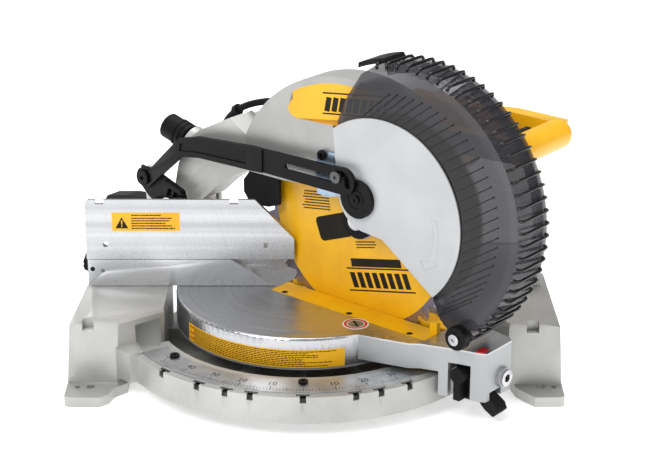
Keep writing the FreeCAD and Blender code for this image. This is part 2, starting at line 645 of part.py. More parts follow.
# ---- lower guard ----

crank = joined([across(20.5, guardS, guardZ, 25.4, 30.0), capsule(guardS, guardZ, pinS, pinZ, 7, 25.4, 28.8)])
crank = crank.cut(across(5.05, guardS, guardZ, 20, 29.1))
crank = crank.cut(pipe(10.5, 9.3, (guardS, -30.2, guardZ), (0, 1, 0), 0.8))
saveHead("guard_crank", crank)
linkPin = joined([across(3.0, pinS, pinZ, 28.8, 35.2), across(6.4, pinS, pinZ, 35.0, 37.4)])
saveHead("link_pin", linkPin.cut(side([polar(2.0, 60 * i, pinS, pinZ) for i in range(6)], 36, 40)))
capScrewBody = across(4.6, guardS, guardZ, 30.05, 32.0).cut(
    side([polar(2.0, 60 * i, guardS, guardZ) for i in range(6)], 31, 34))
saveHead("cap_screw", capScrewBody)


def rimPoint(r, degrees):
    return polar(r, degrees, rimS, rimZ)


def makeGuardShell():
    mid = 0.5 * (guardFrom + guardTo)
    wall = slab(rimPoint(140.5, guardTo), [(74, 311), (65, 288), (65, 240), (69, 212), (78, 190), (101, 178),
                                          (126, 175), (189, 128), (200, 104), rimPoint(140.5, guardFrom),
                                          (rimPoint(140.5, mid), rimPoint(140.5, guardTo))], 20.8, 22.9)
    half = outline((138.0, 22.9), [(141.2, 22.9), (rimOuter, -16.5), (rimOuter, -18.8), (144.0, -18.8), (138.6, 20)],
                   lambda r, k: Vector(rimS + r, -k, rimZ))
    face = Part.Face(half)
    axis = Vector(0, -1, 0)
    face.rotate(Vector(rimS, 0, rimZ), axis, guardFrom)
    rim = face.revolve(Vector(rimS, 0, rimZ), axis, guardTo - guardFrom)
    flangeMid = rimPoint(131, mid)
    flange = slab(rimPoint(145.5, guardTo), [rimPoint(131, guardTo), (flangeMid, rimPoint(131, guardFrom)),
                                             rimPoint(145.5, guardFrom),
                                             (rimPoint(145.5, mid), rimPoint(145.5, guardTo))], -18.8, -17.2)
    boss = joined([across(9.5, 229, 96, 20.8, 26.2),
                   side([(189, 128), (224, 118), (236, 100), (222, 90), (204, 100)], 20.8, 22.9)])
    shell = joined([wall, rim, flange, boss])
    return shell.cut([across(5.6, guardS, guardZ, 15, 30), across(2.9, 229, 96, 10, 30)])


def makeGuardDisc():
    steps = [(64, 240), (68, 212), ((78, 187), (100, 175.5)), (126, 173), (191, 127), ((223, 201.5), (170, 289)),
             ((113, 300), (60, 279))]
    disc = slab((60, 279), steps, 23.0, 25.0)
    return disc.cut(across(5.6, guardS, guardZ, 15, 30))


saveHead("guard_shell", makeGuardShell())
saveHead("guard_disc", makeGuardDisc())
tip = slab(rimPoint(148.3, 100), [rimPoint(153.5, 101), (rimPoint(153.5, 107), rimPoint(153.5, 113.5)),
                                  rimPoint(148.3, 114.5), (rimPoint(148.3, 107), rimPoint(148.3, 100))], -15, 19)
saveHead("guard_tip", tip)
roller = across(12.5, 229, 96, 26.4, 37.6).cut(across(3.05, 229, 96, 20, 40))
saveHead("guard_roller", roller)
rollerPin = joined([across(2.85, 229, 96, 20.9, 27), across(3.0, 229, 96, 26.3, 38), across(6, 229, 96, 37.8, 40.2)])
saveHead("roller_pin", rollerPin.cut(side([polar(2.2, 60 * i, 229, 96) for i in range(6)], 39.2, 42)))


# ---- cords ----

def routeWire(points):
    # straight runs joined by tangent arcs, each as large as its two runs allow
    pts = [Vector(*p) for p in points]
    edges = []
    radii = []
    here = pts[0]
    for i in range(1, len(pts) - 1):
        a, b, c = pts[i - 1], pts[i], pts[i + 1]
        one = (a - b)
        two = (c - b)
        short = min(one.Length, two.Length)
        turn = math.pi - one.getAngle(two)
        reach = 0.45 * short
        radii.append(reach / math.tan(turn / 2))
        one.normalize()
        two.normalize()
        start = b + one * reach
        end = b + two * reach
        half = (one + two)
        half.normalize()
        middle = b + half * (radii[-1] / math.cos(turn / 2) - radii[-1])
        edges.append(Part.makeLine(here, start))
        edges.append(Part.Arc(start, middle, end).toShape())
        here = end
    edges.append(Part.makeLine(here, pts[-1]))
    return Part.Wire(edges), radii


def cordTube(points, r, label):
    wire, radii = routeWire(points)
    first = Vector(*points[1]) - Vector(*points[0])
    section = Part.Wire([Part.Circle(Vector(*points[0]), first, r).toShape()])
    tube = wire.makePipeShell([section], True, False)
    print(label, "length %.1f" % wire.Length, "radii", ["%.0f" % x for x in radii])
    print(label, "volume %.0f against %.0f" % (tube.Volume, math.pi * r * r * wire.Length))
    return tube


leadR = 3.8
leadRoute = [(21, 92, 240), (4, 91, 243), (-12, 82, 251), (-26, 66, 261), (-40, 48, 269), (-58, 32, 272),
             (-78, 22, 269.5), (-98, 18, 262.5), (-117, 19, 251), (-134, 23.5, 236), (-145, 28, 217),
             (-149, 29.5, 197)]
lead = cordTube(leadRoute, leadR, "lead")
saveHead("motor_lead", lead)
gland = pipe(7.5, leadR, (21, 92, 240), (1, 0, 0), 2)
glandAxis = Vector(17, 1, -3)
gland = pipe(7.0, leadR + 0.02, (21, 92, 240), (glandAxis.x, glandAxis.y, glandAxis.z), 13)
saveHead("lead_gland", gland.cut(across(47.2, motorS, motorZ, -160, -60)))
bootAxis = Vector(-4, 1.5, -20)
boot = pipe(6.6, leadR + 0.02, (-149, 29.5, 197), (bootAxis.x, bootAxis.y, bootAxis.z), 14)
box = block(-160, -138, 18.2, 40, 166, 187)
boot = joined([boot.cut(box), box])
saveHead("lead_boot", boot)
clip = pipe(6.2, leadR + 0.05, (-110.0, 18.6, 255.3), (-0.85, 0.045, -0.515), 6)
clip = clip.fuse(block(-121, -108, 18.3, 21, 240, 252))
saveHead("lead_clip", max(clip.cut(lead).Solids, key=lambda s: s.Volume))

cordR = 4.0
coilX, coilY = -130.0, 277.0
coil = pipe(53, 36.5, (coilX, coilY, 0.5), (0, 0, 1), 32)
save("cord_coil", coil)
cordRoute = [(-60, 187, 14), (-60.5, 207, 11.5), (-65, 229, 8), (-73, 248, 5.6), (-85, 264, 4.6), (-97, 282, 4.5)]
power = cordTube(cordRoute, cordR, "cord")
power = max(power.cut(coil).Solids, key=lambda s: s.Volume)
save("power_cord", power)


def makeStrainRelief():
    # tapered sleeve out of the cord block at the back of the base
    sleeve = Part.makeCone(8.0, 5.6, 29, Vector(-59.3, 159.5, 17.6), Vector(-0.5, 20, -2.5))
    sleeve = sleeve.cut(block(-80, -40, 140, 162, 0, 40))
    return sleeve.fuse(rod(9.5, (-59.3, 158, 17.6), (0, 1, 0), 5)).cut(power)


save("strain_relief", makeStrainRelief())


def makePlug():
    body = taper([(-13, -12), (13, -12), (13, 12), (-13, 12)], 0, [(-10, -9), (10, -9), (10, 9), (-10, 9)], 30)
    neck = Part.makeCone(7, 5, 16, Vector(0, 0, 29), Vector(0, 0, 1))
    tail = rod(cordR, (0, 0, 44), (0, 0, 1), 24)
    pins = [block(-7.2, -5.7, -3.2, 3.2, -17, 1), block(5.7, 7.2, -3.2, 3.2, -17, 1),
            rod(2.4, (0, 8, -18), (0, 0, 1), 19)]
    return joined([body, neck, tail] + pins)


# the plug lies beside the coil, on the line in which the last turn leaves it
leaves = 110.0
edge = polar(56.9, leaves, coilX, coilY)
run = (-math.sin(math.radians(leaves)), math.cos(math.radians(leaves)))
plug = makePlug()
plug.rotate(Vector(0, 0, 0), Vector(0, 1, 0), -90)
plug.rotate(Vector(0, 0, 0), Vector(0, 0, 1), 90 + leaves)
plug.translate(Vector(edge[0] + 68 * run[0], edge[1] + 68 * run[1], 12.6))
save("plug", max(plug.cut(coil).Solids, key=lambda s: s.Volume))
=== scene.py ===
import json
import math
import random

import bmesh
import bpy
from mathutils import Matrix, Vector


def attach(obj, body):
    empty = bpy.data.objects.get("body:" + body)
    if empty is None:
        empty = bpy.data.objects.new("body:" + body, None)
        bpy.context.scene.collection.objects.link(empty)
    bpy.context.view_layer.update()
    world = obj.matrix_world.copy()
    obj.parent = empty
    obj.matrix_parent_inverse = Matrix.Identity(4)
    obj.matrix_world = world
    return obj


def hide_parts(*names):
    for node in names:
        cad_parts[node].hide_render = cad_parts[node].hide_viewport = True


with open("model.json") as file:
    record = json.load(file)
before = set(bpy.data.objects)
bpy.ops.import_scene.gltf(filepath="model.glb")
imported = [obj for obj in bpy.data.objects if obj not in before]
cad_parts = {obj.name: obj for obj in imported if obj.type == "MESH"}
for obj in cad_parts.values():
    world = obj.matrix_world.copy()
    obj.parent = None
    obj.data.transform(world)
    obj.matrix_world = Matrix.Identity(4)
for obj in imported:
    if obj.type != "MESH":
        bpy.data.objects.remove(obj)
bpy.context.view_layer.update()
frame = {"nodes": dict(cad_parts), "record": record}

# Bench miter saw. Metres, X along the fence, Y to the back, Z up, z = 0 on the bench.
# Points are given in millimetres from the turntable's axis (base) or along the blade (head).

axisX = -0.0123                                       # turntable axis
tableFrame = Matrix.Translation((axisX, 0, 0))
headFrame = tableFrame @ Matrix.Rotation(math.radians(-40), 4, "Z")
arbor = (76, 175.5)
rimCentre = (149, 212)


def basePoint(x, y, z):
    return tableFrame @ Vector((x / 1000, y / 1000, z / 1000))


def headPoint(s, k, z):                               # along the blade, to its left, up
    return headFrame @ Vector((s / 1000, -k / 1000, z / 1000))


camera = bpy.data.objects.new("camera", bpy.data.cameras.new("camera"))
bpy.context.scene.collection.objects.link(camera)
camera.location = (0.0072, -1.8647, 0.8647)
camera.rotation_euler = (math.radians(68.8), 0, 0)
camera.data.lens = 103.54
camera.data.sensor_width = 36
bpy.context.scene.camera = camera
print("camera set")


def cordCurve(name, points, diameter):
    curve = bpy.data.curves.new(name, "CURVE")
    curve.dimensions = "3D"
    spline = curve.splines.new("NURBS")
    spline.points.add(len(points) - 1)
    for point, place in zip(spline.points, points):
        point.co = (*place, 1)
    spline.order_u = 3
    spline.use_endpoint_u = True
    curve.bevel_depth = diameter / 2
    curve.bevel_resolution = 5
    curve.resolution_u = 6
    piece = bpy.data.objects.new(name, curve)
    bpy.context.scene.collection.objects.link(piece)
    return piece


supply = {
    "diameter": 8.0,
    "route": [(-60, 187, 14), (-60.5, 207, 11.5), (-65, 229, 8), (-73, 248, 5.6), (-84, 263, 4.6)],
    "coil": (-130, 277),
    "slots": [(48.9, 4.6), (40.6, 4.6), (40.6, 12.7), (48.9, 12.7), (48.9, 20.8), (40.6, 20.8), (40.6, 28.9),
              (48.9, 28.9)],
    "perTurn": 15,
    "shift": 2,                                       # steps taken to move over to the next turn
    "leaves": 110,
}


def supplyPoints(supply):
    points = [basePoint(*p) for p in supply["route"]]
    cx, cy = supply["coil"]
    stride = 360 / supply["perTurn"]
    angle = -14.0
    steps = supply["perTurn"] - supply["shift"]
    for i, (radius, height) in enumerate(supply["slots"]):
        last = i == len(supply["slots"]) - 1
        for j in range(steps - (4 if last else 1)):
            a = math.radians(angle)
            points.append(basePoint(cx + radius * math.cos(a), cy + radius * math.sin(a), height))
            angle += stride
        if not last:                                  # one point half way over
            r, h = (radius + supply["slots"][i + 1][0]) / 2, (height + supply["slots"][i + 1][1]) / 2
            a = math.radians(angle)
            points.append(basePoint(cx + r * math.cos(a), cy + r * math.sin(a), h))
            angle += stride
    turned = math.degrees(math.atan2(points[-1].y - cy / 1000, points[-1].x - axisX - cx / 1000))
    for away, r, h in ((0.25, 51.5, 28.5), (0.5, 55.6, 25), (0.75, 58, 20), (1, 58.4, 16)):
        a = math.radians(turned + away * (supply["leaves"] - 8 - turned))
        points.append(basePoint(cx + r * math.cos(a), cy + r * math.sin(a), h))
    a = math.radians(supply["leaves"])
    ahead = Vector((-math.sin(a), math.cos(a), 0))
    edge = Vector((cx + 57.4 * math.cos(a), cy + 57.4 * math.sin(a), 13.4))
    for d in (6, 14, 22, 25):
        spot = edge + ahead * d
        points.append(basePoint(spot.x, spot.y, 12.9 if d < 10 else 12.6))
    return points


def curveLength(piece):                               # along the curve's own line
    depth = piece.data.bevel_depth
    piece.data.bevel_depth = 0
    bpy.context.view_layer.update()
    line = bpy.data.meshes.new_from_object(piece.evaluated_get(bpy.context.evaluated_depsgraph_get()))
    spots = [v.co for v in line.vertices]
    total = sum((spots[e.vertices[0]] - spots[e.vertices[1]]).length for e in line.edges)
    piece.data.bevel_depth = depth
    return total


powerCord = cordCurve("supply_cord", supplyPoints(supply), supply["diameter"] / 1000)
cordLength = curveLength(powerCord)
print("supply cord %.2f m" % cordLength)

lead = {
    "diameter": 7.6,
    "route": [(21, -92, 240), (4, -91, 243), (-12, -82, 251), (-26, -66, 261), (-40, -48, 269),
              (-58, -32, 272),
              (-78, -22, 269.5), (-98, -18, 262.5), (-117, -19, 251), (-134, -23.5, 236), (-145, -28, 217),
              (-149, -29.5, 197)],
}
motorLead = cordCurve("motor_lead_sheath", [headPoint(*p) for p in lead["route"]], lead["diameter"] / 1000)
leadLength = curveLength(motorLead)
print("motor lead %.3f m" % leadLength)


def colour(red, green, blue):                         # from screen values 0 to 255
    linear = [((c / 255 + 0.055) / 1.055) ** 2.4 if c > 10 else c / 3295 for c in (red, green, blue)]
    return (*linear, 1.0)


class Signal:                                         # one output socket that does arithmetic
    def __init__(self, finish, socket):
        self.finish = finish
        self.socket = socket

    def maths(self, operation, *values):
        return self.finish.node("ShaderNodeMath", {"operation": operation}, dict(enumerate(values)))

    def __add__(self, other):
        return self.maths("ADD", self, other)

    def __sub__(self, other):
        return self.maths("SUBTRACT", self, other)

    def __mul__(self, other):
        return self.maths("MULTIPLY", self, other)

    def __truediv__(self, other):
        return self.maths("DIVIDE", self, other)

    def __radd__(self, other):
        return self.maths("ADD", other, self)

    def __rsub__(self, other):
        return self.maths("SUBTRACT", other, self)

    def __rmul__(self, other):
        return self.maths("MULTIPLY", other, self)

    def __lt__(self, other):
        return self.maths("LESS_THAN", self, other)

    def above(self, low, high):                       # 0 below low, 1 above high, smooth between
        return self.finish.node("ShaderNodeMapRange", {"interpolation_type": "SMOOTHSTEP"},
                                {0: self, 1: low, 2: high, 3: 0.0, 4: 1.0})


class Finish:                                         # one material
    def __init__(self, name, fixed=None):
        self.material = bpy.data.materials.new(name)
        self.material.use_nodes = True
        self.tree = self.material.node_tree
        self.shader = self.tree.nodes["Principled BSDF"]
        for socket, value in (fixed or {}).items():
            self.shader.inputs[socket].default_value = value

    def node(self, kind, settings=None, inputs=None, output=0):
        made = self.tree.nodes.new(kind)
        for key, value in (settings or {}).items():
            if key == "stops":
                for element, (place, shade) in zip(made.color_ramp.elements, value):
                    element.position, element.color = place, shade
            else:
                setattr(made, key, value)
        for key, value in (inputs or {}).items():
            if isinstance(value, Signal):
                self.tree.links.new(value.socket, made.inputs[key])
            else:
                made.inputs[key].default_value = value
        return Signal(self, made.outputs[output])

    def here(self, origin=(0, 0, 0), turn=0.0):       # object coordinates, centred and turned about Z
        spot = self.node("ShaderNodeTexCoord", output=3)
        return self.node("ShaderNodeMapping", {"vector_type": "TEXTURE"},
                         {0: spot, 1: origin, 2: (0, 0, turn)})

    def axes(self, vector):
        split = self.node("ShaderNodeSeparateXYZ", None, {0: vector})
        outputs = split.socket.node.outputs
        return [Signal(self, outputs[i]) for i in range(3)]

    def noise(self, vector, scale, detail=2.0, rough=0.5):
        return self.node("ShaderNodeTexNoise", None, {"Vector": vector, "Scale": scale, "Detail": detail,
                                                      "Roughness": rough})

    def streak(self, along, scale, detail=2.0):       # noise along one number
        return self.node("ShaderNodeTexNoise", {"noise_dimensions": "1D"}, {"W": along, "Scale": scale,
                                                                            "Detail": detail})

    def mix(self, factor, one, two):
        return self.node("ShaderNodeMix", {"data_type": "RGBA"}, {0: factor, 6: one, 7: two}, 2)

    def set(self, socket, value):
        if isinstance(value, Signal):
            self.tree.links.new(value.socket, self.shader.inputs[socket])
        else:
            self.shader.inputs[socket].default_value = value
        return self

    def bump(self, height, distance, strength=1.0):
        return self.set("Normal", self.node("ShaderNodeBump", None,
                                            {"Strength": strength, "Distance": distance,
                                                                     "Height": height}))


def radius(finish, vector, flat=True):
    x, y, z = finish.axes(vector)
    other = y if flat else z
    return finish.node("ShaderNodeMath", {"operation": "SQRT"}, {0: x * x + other * other})


def castFinish(name, light, dark, metal=0.55, rough=0.4, grain=1300, depth=0.00012):
    f = Finish(name, {"Metallic": metal})
    spot = f.here()
    sand = f.noise(spot, grain, 3, 0.6)
    cloud = f.noise(spot, 17, 3, 0.55)
    scuff = f.noise(spot, 120, 4, 0.7).above(0.62, 0.75)
    f.set("Base Color", f.mix(cloud.above(0.3, 0.75) * 0.7 + scuff * 0.3, light, dark))
    f.set("Roughness", rough + (sand - 0.5) * 0.2 + (cloud - 0.5) * 0.14 - scuff * 0.08)
    return f.bump(sand + scuff * 0.3, depth)


def plasticFinish(name, light, dark, rough=0.35, coat=0.0, grain=900, depth=0.00004):
    f = Finish(name, {"Coat Roughness": 0.12, "Specular IOR Level": 0.5 if max(light[:3]) > 0.1 else 0.16})
    f.shader.inputs["Coat Weight"].default_value = coat
    spot = f.here()
    pore = f.noise(spot, grain, 2, 0.5)
    cloud = f.noise(spot, 26, 4, 0.6)
    rub = f.noise(spot, 70, 5, 0.7).above(0.6, 0.8)
    f.set("Base Color", f.mix(cloud.above(0.35, 0.8) * 0.6 + rub * 0.25, light, dark))
    f.set("Roughness", rough + (cloud - 0.5) * 0.16 + rub * 0.1 + (pore - 0.5) * 0.08)
    return f.bump(pore, depth)


def steelFinish(name, light, dark, rough=0.3, metal=1.0, grain=600, depth=0.00003):
    f = Finish(name, {"Metallic": metal})
    spot = f.here()
    fine = f.noise(spot, grain, 3, 0.6)
    cloud = f.noise(spot, 60, 3, 0.5)
    f.set("Base Color", f.mix(cloud.above(0.35, 0.7), light, dark))
    f.set("Roughness", rough + (fine - 0.5) * 0.18 + (cloud - 0.5) * 0.12)
    return f.bump(fine, depth)


def turnedFinish():                                   # table top, faced on a lathe, sand-cast below
    f = Finish("table_faced")
    spot = f.here((axisX, 0, 0))
    x, y, z = f.axes(spot)
    ring = radius(f, spot)
    marks = f.streak(ring, 1500, 2)
    wide = f.streak(ring, 90, 2)
    sand = f.noise(spot, 1300, 3, 0.6)
    cloud = f.noise(spot, 9, 2, 0.5)
    top = z.above(0.0772, 0.0796)
    drum = ring.above(0.1385, 0.1389) * (ring < 0.1402)
    bare = top.maths("MAXIMUM", top, drum * z.above(0.046, 0.048))
    f.set("Base Color", f.mix(bare, colour(176, 178, 180),
                              f.mix(cloud, colour(206, 207, 209), colour(186, 187, 190))))
    f.set("Metallic", 0.55 + bare * 0.4)
    f.set("Roughness", 0.42 + (sand - 0.5) * 0.16 - bare * (0.13 - (wide - 0.5) * 0.16))
    return f.bump(marks * bare * 0.35 + sand * (1 - bare), 0.00011)


def milledFinish(name, light, deep, rough=0.27):
    f = Finish(name, {"Metallic": 0.8})               # face milled: fine upright cuts, faint wide sweeps
    spot = f.here()
    x, y, z = f.axes(spot)
    sweep = x + ((z - 0.06) * (z - 0.06)) * 1.6
    fine = f.streak(sweep, 420, 2)
    broad = f.streak(sweep, 26, 3)
    level = f.streak(z, 90, 2)
    f.set("Base Color", f.mix(broad * 0.35 + level * 0.65, light, deep))
    f.set("Roughness", rough + (level - 0.5) * 0.2 + (fine - 0.5) * 0.1)
    return f.bump(fine * 0.5 + level, 0.00005)


def bladeFinish():
    f = Finish("coated_blade", {"Coat Roughness": 0.15})
    spot = f.here(tuple(headPoint(arbor[0], 0, arbor[1])), math.radians(-40))
    x, y, z = f.axes(spot)
    ring = radius(f, spot, False)
    bare = ring.above(0.1128, 0.1134)
    hub = 1 - ring.above(0.0205, 0.0211)
    steel = bare.maths("MAXIMUM", bare, hub)
    marks = f.streak(ring, 1200, 2)
    cloud = f.noise(spot, 30, 4, 0.6)
    dust = f.noise(spot, 240, 4, 0.7).above(0.6, 0.75)
    yellow = f.mix(cloud.above(0.3, 0.8) * 0.5 + dust * 0.2, colour(250, 190, 14), colour(226, 158, 8))
    f.set("Base Color", f.mix(steel, yellow, colour(158, 150, 166)))
    f.set("Metallic", steel * 0.9)
    f.set("Roughness", 0.34 + (cloud - 0.5) * 0.16 - steel * 0.05 + (marks - 0.5) * 0.12 * steel)
    f.set("Coat Weight", (1 - steel) * 0.4)
    return f.bump(marks, 0.00002)


def smokedFinish():
    f = Finish("smoked_clear_moulding", {"IOR": 1.5, "Specular IOR Level": 0.4})
    spot = f.here(tuple(headPoint(rimCentre[0], 0, rimCentre[1])), math.radians(-40))
    ring = radius(f, spot, False)
    flow = f.noise(spot, 20, 3, 0.5)
    x, y, z = f.axes(spot)
    # inner: a near-black, more opaque band just outside the disc, painted shade standing in for the shade of the
    # blade and gear housing behind the wall
    inner = 1 - ring.above(0.096, 0.101)
    outer = ring.above(0.128, 0.136)
    f.set("Base Color", f.mix(inner, f.mix(flow * 0.5 + outer * 0.5, colour(40, 40, 45), colour(72, 71, 78)),
                              colour(9, 9, 10)))
    f.set("Roughness", 0.09 + flow * 0.1)
    low = x.above(-0.05, 0.04)
    rim = ring.above(0.1445, 0.1462)
    f.set("Alpha", 0.62 - rim * 0.34 + low * 0.2 + inner * (0.3 - low * 0.14) + (flow - 0.5) * 0.08)
    return f.bump(f.noise(spot, 60, 3, 0.5), 0.0002)


def rubberFinish(name, shade=14):
    dark, worn = colour(shade, shade, shade + 1), colour(shade + 14, shade + 14, shade + 14)
    return plasticFinish(name, dark, worn, 0.55, 0.0, 1400, 0.00006)


finishes = {
    "cast": castFinish("silver_sand_cast", colour(190, 190, 187), colour(168, 168, 165), 0.6, 0.4, 800,
                       0.00028),
    "armCast": castFinish("arm_sand_cast", colour(204, 204, 201), colour(184, 184, 181), 0.5, 0.4, 800,
                          0.00026),
    "guardCast": castFinish("guard_sand_cast", colour(188, 188, 186), colour(170, 170, 168), 0.45, 0.42, 900,
                            0.0002),
    "table": turnedFinish(),
    "milled": milledFinish("milled_fence", colour(212, 213, 214), colour(172, 174, 178)),
    "milledLow": milledFinish("milled_low_fence", colour(226, 227, 230), colour(190, 192, 197), 0.22),
    "scale": steelFinish("brushed_scale", colour(200, 203, 206), colour(180, 183, 187), 0.34, 0.9),
    "blackSteel": plasticFinish("black_satin_steel", colour(13, 13, 15), colour(24, 24, 27), 0.4, 0.0, 900,
                                0.00006),
    "darkSteel": steelFinish("dark_steel", colour(96, 96, 98), colour(60, 60, 62), 0.35, 0.9),
    "bright": steelFinish("bright_steel", colour(210, 210, 212), colour(176, 176, 180), 0.22),
    "zinc": steelFinish("zinc_plate", colour(176, 196, 214), colour(140, 160, 184), 0.3, 0.85, 300, 0.00003),
    "blackPlastic": plasticFinish("black_moulding", colour(15, 15, 17), colour(28, 28, 31), 0.42, 0.0, 1100,
                                  0.00006),
    "rubber": rubberFinish("black_rubber"),
    "cord": rubberFinish("cord_sheath", 16),
    "yellow": plasticFinish("yellow_moulding", colour(250, 192, 18), colour(236, 170, 10), 0.3, 0.25, 800),
    "kerf": plasticFinish("yellow_kerf_plate", colour(252, 194, 10), colour(240, 172, 8), 0.36, 0.1, 900,
                          0.00006),
    "red": plasticFinish("red_moulding", colour(190, 26, 28), colour(150, 16, 18), 0.34, 0.2),
    "blade": bladeFinish(),
    "smoked": smokedFinish(),
    "disc": castFinish("painted_guard_disc", colour(200, 202, 204), colour(188, 190, 192), 0.25, 0.42, 900,
                       0.00007),
    "labelYellow": plasticFinish("label_yellow", colour(252, 190, 20), colour(240, 172, 12), 0.4, 0.1, 500,
                                 0.00002),
    "ink": plasticFinish("printed_black", colour(30, 28, 24), colour(52, 46, 34), 0.5, 0.0, 700, 0.00001),
    "inkRed": plasticFinish("printed_red", colour(206, 44, 26), colour(182, 34, 22), 0.45, 0.0, 700, 0.00001),
    "white": plasticFinish("printed_white", colour(232, 232, 230), colour(214, 214, 212), 0.4, 0.1, 600,
                           0.00001),
    "rib": plasticFinish("black_ribs", colour(16, 16, 17), colour(32, 32, 34), 0.22, 0.5, 700, 0.00003),
    "slit": plasticFinish("guard_slits", colour(20, 19, 22), colour(34, 32, 36), 0.35, 0.2, 700, 0.00002),
}
print("finishes made:", len(finishes))


def linked(name, mesh):
    piece = bpy.data.objects.new(name, mesh)
    bpy.context.scene.collection.objects.link(piece)
    return piece


def baked(piece):                                     # modifiers turned into plain mesh
    bpy.context.view_layer.update()
    depsgraph = bpy.context.evaluated_depsgraph_get()
    mesh = bpy.data.meshes.new_from_object(piece.evaluated_get(depsgraph), preserve_all_data_layers=True,
                                           depsgraph=depsgraph)
    piece.modifiers.clear()
    piece.data = mesh
    return piece


def smoothed(mesh, sharp):
    for face in mesh.polygons:
        face.use_smooth = True
    mesh.set_sharp_from_angle(angle=math.radians(sharp))


def dressed(piece, finish, body, slotName, *nodes):   # finish, place in the joint tree, what it stands for
    material = finishes[finish].material
    piece.data.materials.clear()
    piece.data.materials.append(material)
    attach(piece, body)
    if nodes:
        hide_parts(*nodes)
    return piece


bodyOf = {node: body for body, members in frame["record"]["behaviour"]["bodies"].items() for node in members}
slotOf = {part["node"]: part["material_slot"] for part in frame["record"]["subparts"]}


def softened(node, finish, width, segments=2):
    # the CAD solid again, its flats joined into whole faces and its edges rounded over
    mesh = frame["nodes"][node].data.copy()
    bm = bmesh.new()
    bm.from_mesh(mesh)
    bmesh.ops.remove_doubles(bm, verts=bm.verts, dist=2e-6)
    bmesh.ops.dissolve_limit(bm, angle_limit=math.radians(0.4), verts=bm.verts, edges=bm.edges)
    bm.to_mesh(mesh)
    bm.free()
    mesh.name = node + "_finished"
    smoothed(mesh, 30)
    piece = linked(node + "_finished", mesh)
    bevel = piece.modifiers.new("edges", "BEVEL")
    bevel.width = width / 1000
    bevel.segments = segments
    bevel.limit_method = "ANGLE"
    bevel.angle_limit = math.radians(38)
    bevel.harden_normals = True
    bevel.use_clamp_overlap = True
    baked(piece)
    return dressed(piece, finish, bodyOf[node], slotOf[node], node)


def painted(node, finish):                            # CAD solid kept, finish on its own slots
    data = frame["nodes"][node].data
    data.materials.clear()
    data.materials.append(finishes[finish].material)


def boxes(name, rects, place, low, high, step=6.0):
    # printed or raised rectangles (u0, u1, v0, v1) on the surface that place(u, v, h) describes
    bm = bmesh.new()
    for u0, u1, v0, v1 in rects:
        count = max(1, int(abs(u1 - u0) / step + 0.5))
        rows = []
        for i in range(count + 1):
            u = u0 + (u1 - u0) * i / count
            rows.append([bm.verts.new(place(u, v, h)) for v,
                         h in ((v0, low), (v1, low), (v1, high), (v0, high))])
        for one, two in zip(rows, rows[1:]):
            for i in range(4):
                bm.faces.new((one[i], one[(i + 1) % 4], two[(i + 1) % 4], two[i]))
        bm.faces.new(rows[0])
        bm.faces.new(rows[-1])
    bmesh.ops.recalc_face_normals(bm, faces=bm.faces)
    mesh = bpy.data.meshes.new(name)
    bm.to_mesh(mesh)
    bm.free()
    return linked(name, mesh)


def plates(name, outlines, place, low, high):
    # flat shapes [(u, v), ...] given a thickness on a flat surface
    bm = bmesh.new()
    for outline in outlines:
        bottom = [bm.verts.new(place(u, v, low)) for u, v in outline]
        top = [bm.verts.new(place(u, v, high)) for u, v in outline]
        bm.faces.new(bottom)
        bm.faces.new(top)
        for i in range(len(outline)):
            j = (i + 1) % len(outline)
            bm.faces.new((bottom[i], bottom[j], top[j], top[i]))
    bmesh.ops.triangulate(bm, faces=[f for f in bm.faces if len(f.verts) > 4])
    bmesh.ops.recalc_face_normals(bm, faces=bm.faces)
    mesh = bpy.data.meshes.new(name)
    bm.to_mesh(mesh)
    bm.free()
    return linked(name, mesh)


def onHead(k):                                        # surface parallel to the blade, k to its left
    return lambda s, z, h: headPoint(s, k + h, z)


def onFront(y):                                       # surface facing the operator
    return lambda x, z, h: basePoint(x, y - h, z)


def onTop(z):                                         # level surface in head directions
    return lambda s, k, h: headPoint(s, k, z + h)


def onDrum(r):                                        # round the table's rim, u in degrees
    return lambda a, z, h: basePoint((r + h) * math.cos(math.radians(a)),
                                     (r + h) * math.sin(math.radians(a)), z)


def onRing(z):                                        # level ring, u in degrees, v is the radius
    return lambda a, r, h: basePoint(r * math.cos(math.radians(a)), r * math.sin(math.radians(a)), z + h)


def arc(cx, cy, r, a0, a1, count=24):
    return [(cx + r * math.cos(math.radians(a0 + (a1 - a0) * i / count)),
             cy + r * math.sin(math.radians(a0 + (a1 - a0) * i / count))) for i in range(count + 1)]


def printedLines(u0, u1, v0, v1, rows, seed, gap=0.6, scale=1.0):
    # short bars in rows, in place of a label's small print
    pick = random.Random(seed)
    bars = []
    pitch = (v1 - v0) / rows
    for row in range(rows):
        v = v1 - (row + 0.5) * pitch
        u = u0
        end = u1 - pick.random() * 0.25 * (u1 - u0)
        while u < end:
            word = pick.uniform(1.2, 4.2) * scale
            bars.append((u, min(u + word, end), v - pitch * 0.26, v + pitch * 0.22))
            u += word + gap * scale
    return bars


